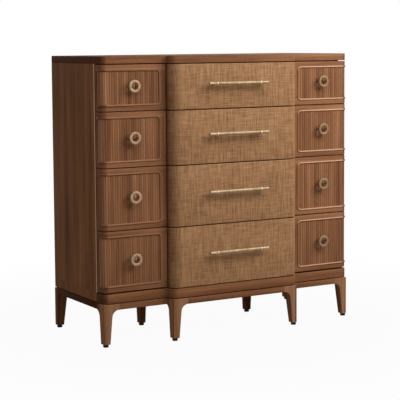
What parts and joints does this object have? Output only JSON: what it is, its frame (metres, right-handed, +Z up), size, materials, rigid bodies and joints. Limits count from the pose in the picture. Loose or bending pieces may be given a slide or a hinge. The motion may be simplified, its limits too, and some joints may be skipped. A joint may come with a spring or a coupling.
{
  "type": "gentleman's chest",
  "caption": "Breakfront chest of drawers with reeded side drawers, woven centre drawers, brass ring and bar pulls and a leg frame with tapered legs.",
  "frame": {"origin": "on the floor, under the middle of the chest's overall box, pulls included", "axes": "+X to the right seen from the front, -Y out of the drawers, +Z up"},
  "size_m": [1.277, 0.5813, 1.234],
  "materials": {
    "stained_wood": "brown stained wood with a satin lacquer",
    "inside_wood": "plain stained boards",
    "drawer_wood": "clear sealed pale wood",
    "woven_raffia": "fine woven raffia wrapped over a wood core",
    "brushed_brass": "brushed champagne brass",
    "black_glide": "black moulded plastic"
  },
  "bodies": {
    "case": {"top_slab": "stained_wood", "left_side_panel": "stained_wood", "right_side_panel": "stained_wood", "left_partition": "inside_wood", "right_partition": "inside_wood", "case_bottom": "inside_wood", "back_panel": "inside_wood", "divider_rails": "inside_wood", "drawer_runners": "inside_wood", "plinth": "stained_wood", "front_corner_legs": "stained_wood", "breakfront_legs": "stained_wood", "rear_corner_legs": "stained_wood", "inner_legs": "stained_wood", "leg_frame_rails": "stained_wood", "levelling_glides": "black_glide"},
    "left_drawer_1": {"left_drawer_1_front": "stained_wood", "left_drawer_1_bead": "stained_wood", "left_drawer_1_knob": "brushed_brass", "left_drawer_1_box": "drawer_wood"},
    "left_drawer_2": {"left_drawer_2_front": "stained_wood", "left_drawer_2_bead": "stained_wood", "left_drawer_2_knob": "brushed_brass", "left_drawer_2_box": "drawer_wood"},
    "left_drawer_3": {"left_drawer_3_front": "stained_wood", "left_drawer_3_bead": "stained_wood", "left_drawer_3_knob": "brushed_brass", "left_drawer_3_box": "drawer_wood"},
    "left_drawer_4": {"left_drawer_4_front": "stained_wood", "left_drawer_4_bead": "stained_wood", "left_drawer_4_knob": "brushed_brass", "left_drawer_4_box": "drawer_wood"},
    "centre_drawer_1": {"centre_drawer_1_front": "woven_raffia", "centre_drawer_1_pull": "brushed_brass", "centre_drawer_1_box": "drawer_wood"},
    "centre_drawer_2": {"centre_drawer_2_front": "woven_raffia", "centre_drawer_2_pull": "brushed_brass", "centre_drawer_2_box": "drawer_wood"},
    "centre_drawer_3": {"centre_drawer_3_front": "woven_raffia", "centre_drawer_3_pull": "brushed_brass", "centre_drawer_3_box": "drawer_wood"},
    "centre_drawer_4": {"centre_drawer_4_front": "woven_raffia", "centre_drawer_4_pull": "brushed_brass", "centre_drawer_4_box": "drawer_wood"},
    "right_drawer_1": {"right_drawer_1_front": "stained_wood", "right_drawer_1_bead": "stained_wood", "right_drawer_1_knob": "brushed_brass", "right_drawer_1_box": "drawer_wood"},
    "right_drawer_2": {"right_drawer_2_front": "stained_wood", "right_drawer_2_bead": "stained_wood", "right_drawer_2_knob": "brushed_brass", "right_drawer_2_box": "drawer_wood"},
    "right_drawer_3": {"right_drawer_3_front": "stained_wood", "right_drawer_3_bead": "stained_wood", "right_drawer_3_knob": "brushed_brass", "right_drawer_3_box": "drawer_wood"},
    "right_drawer_4": {"right_drawer_4_front": "stained_wood", "right_drawer_4_bead": "stained_wood", "right_drawer_4_knob": "brushed_brass", "right_drawer_4_box": "drawer_wood"}
  },
  "joints": [
    {"name": "left_drawer_1_slide", "type": "slide", "parent": "case", "child": "left_drawer_1", "axis": [0, -1, 0], "range_m": [0, 0.34]},
    {"name": "left_drawer_2_slide", "type": "slide", "parent": "case", "child": "left_drawer_2", "axis": [0, -1, 0], "range_m": [0, 0.34]},
    {"name": "left_drawer_3_slide", "type": "slide", "parent": "case", "child": "left_drawer_3", "axis": [0, -1, 0], "range_m": [0, 0.34]},
    {"name": "left_drawer_4_slide", "type": "slide", "parent": "case", "child": "left_drawer_4", "axis": [0, -1, 0], "range_m": [0, 0.34]},
    {"name": "centre_drawer_1_slide", "type": "slide", "parent": "case", "child": "centre_drawer_1", "axis": [0, -1, 0], "range_m": [0, 0.38]},
    {"name": "centre_drawer_2_slide", "type": "slide", "parent": "case", "child": "centre_drawer_2", "axis": [0, -1, 0], "range_m": [0, 0.38]},
    {"name": "centre_drawer_3_slide", "type": "slide", "parent": "case", "child": "centre_drawer_3", "axis": [0, -1, 0], "range_m": [0, 0.38]},
    {"name": "centre_drawer_4_slide", "type": "slide", "parent": "case", "child": "centre_drawer_4", "axis": [0, -1, 0], "range_m": [0, 0.38]},
    {"name": "right_drawer_1_slide", "type": "slide", "parent": "case", "child": "right_drawer_1", "axis": [0, -1, 0], "range_m": [0, 0.34]},
    {"name": "right_drawer_2_slide", "type": "slide", "parent": "case", "child": "right_drawer_2", "axis": [0, -1, 0], "range_m": [0, 0.34]},
    {"name": "right_drawer_3_slide", "type": "slide", "parent": "case", "child": "right_drawer_3", "axis": [0, -1, 0], "range_m": [0, 0.34]},
    {"name": "right_drawer_4_slide", "type": "slide", "parent": "case", "child": "right_drawer_4", "axis": [0, -1, 0], "range_m": [0, 0.34]}
  ]
}
